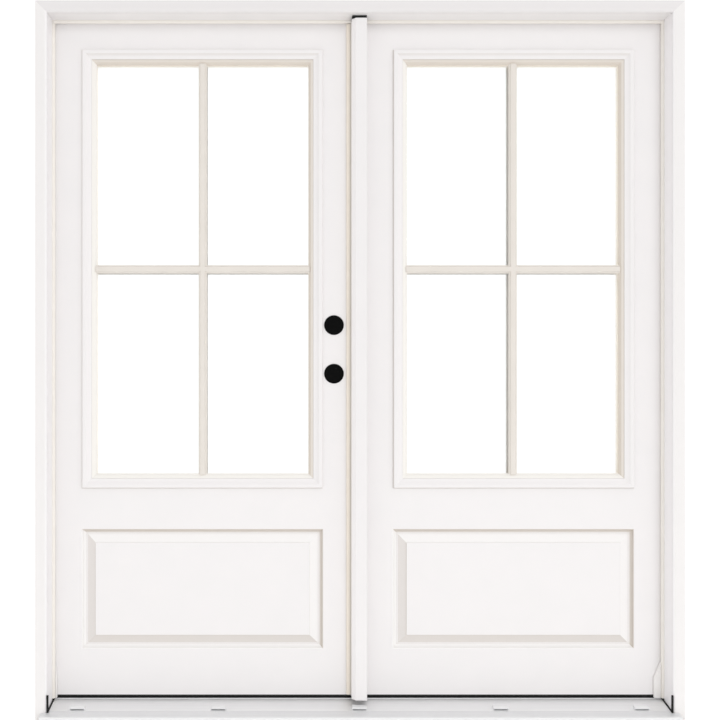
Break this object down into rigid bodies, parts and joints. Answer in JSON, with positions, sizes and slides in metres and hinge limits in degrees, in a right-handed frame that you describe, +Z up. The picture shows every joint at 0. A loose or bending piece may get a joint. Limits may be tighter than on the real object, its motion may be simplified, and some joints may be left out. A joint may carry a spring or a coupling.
{
  "type": "french doors",
  "caption": "White french doors that open inward, each leaf with a barred glazed light over a raised panel, in a frame with hinges, astragal, seals and a ribbed sill.",
  "frame": {"origin": "under the middle of the sill, on the plane of the frame's outdoor face", "axes": "+X to the right seen from outdoors, +Y indoors, the way the leaves open, +Z up"},
  "size_m": [1.816, 0.1513, 2.019],
  "materials": {
    "frame_white": "satin white paint over composite",
    "leaf_white": "smooth satin white skin",
    "lite_white": "moulded white plastic",
    "bar_white": "moulded warm white plastic",
    "sill_metal": "mill finish, ribbed",
    "sill_core": "grey composite",
    "cap_plastic": "dark composite",
    "weep_plastic": "moulded white plastic",
    "seal_beige": "skinned foam",
    "seal_tan": "skinned foam",
    "seal_black": "matt",
    "glass": "clear double pane",
    "spacer_metal": "satin",
    "glazing_tape": "matt",
    "hinge_steel": "satin",
    "screw_steel": "zinc plated",
    "bolt_steel": "zinc plated",
    "cover_black": "matt black",
    "wood": "bare softwood",
    "core_foam": "cellular"
  },
  "bodies": {
    "frame": {"head_jamb": "frame_white", "left_jamb": "frame_white", "right_jamb": "frame_white", "sill_base": "sill_core", "sill_deck": "sill_metal", "threshold_cap": "cap_plastic", "weep_covers": "weep_plastic", "jamb_seals": "seal_beige", "head_seal": "seal_beige", "corner_pads": "seal_beige", "head_pad": "seal_black", "bolt_strikes": "bolt_steel", "frame_screws": "screw_steel", "left_jamb_hinge_plates": "hinge_steel", "right_jamb_hinge_plates": "hinge_steel", "jamb_hinge_screws": "screw_steel", "hinge_pins": "hinge_steel", "sill_gaskets": "seal_black"},
    "left_leaf": {"left_outer_skin": "leaf_white", "left_inner_skin": "leaf_white", "left_outer_lite_frame": "lite_white", "left_inner_lite_frame": "lite_white", "left_outer_bars": "bar_white", "left_inner_bars": "bar_white", "left_hinge_stile": "wood", "left_lock_stile": "wood", "left_top_rail": "wood", "left_bottom_rail": "wood", "left_foam_core": "core_foam", "left_glass_panes": "glass", "left_glass_spacer": "spacer_metal", "left_glazing_seals": "glazing_tape", "left_lite_screws": "screw_steel", "left_sweep": "seal_black", "left_leaf_hinge_plates": "hinge_steel", "left_leaf_hinge_screws": "screw_steel", "bore_covers": "cover_black"},
    "right_leaf": {"right_outer_skin": "leaf_white", "right_inner_skin": "leaf_white", "right_outer_lite_frame": "lite_white", "right_inner_lite_frame": "lite_white", "right_outer_bars": "bar_white", "right_inner_bars": "bar_white", "right_hinge_stile": "wood", "right_lock_stile": "wood", "right_top_rail": "wood", "right_bottom_rail": "wood", "right_foam_core": "core_foam", "right_glass_panes": "glass", "right_glass_spacer": "spacer_metal", "right_glazing_seals": "glazing_tape", "right_lite_screws": "screw_steel", "right_sweep": "seal_black", "right_leaf_hinge_plates": "hinge_steel", "right_leaf_hinge_screws": "screw_steel", "astragal_post": "lite_white", "astragal_seal": "seal_tan", "astragal_stem": "lite_white"},
    "top_bolt": {"top_bolt": "bolt_steel"},
    "bottom_bolt": {"bottom_bolt": "bolt_steel"}
  },
  "joints": [
    {"name": "left_leaf_swing", "type": "hinge", "parent": "frame", "child": "left_leaf", "pos_m": [-0.88735, 0.123, 0], "axis": [0, 0, 1], "range_deg": [0, 105]},
    {"name": "right_leaf_swing", "type": "hinge", "parent": "frame", "child": "right_leaf", "pos_m": [0.88735, 0.123, 0], "axis": [0, 0, -1], "range_deg": [0, 90]},
    {"name": "top_bolt_slide", "type": "slide", "parent": "right_leaf", "child": "top_bolt", "axis": [0, 0, 1], "range_m": [0, 0.016]},
    {"name": "bottom_bolt_slide", "type": "slide", "parent": "right_leaf", "child": "bottom_bolt", "axis": [0, 0, -1], "range_m": [0, 0.016]}
  ],
  "couplings": [
    {"joint": "right_leaf_swing", "follows": "left_leaf_swing", "ratio": 0.85714}
  ]
}
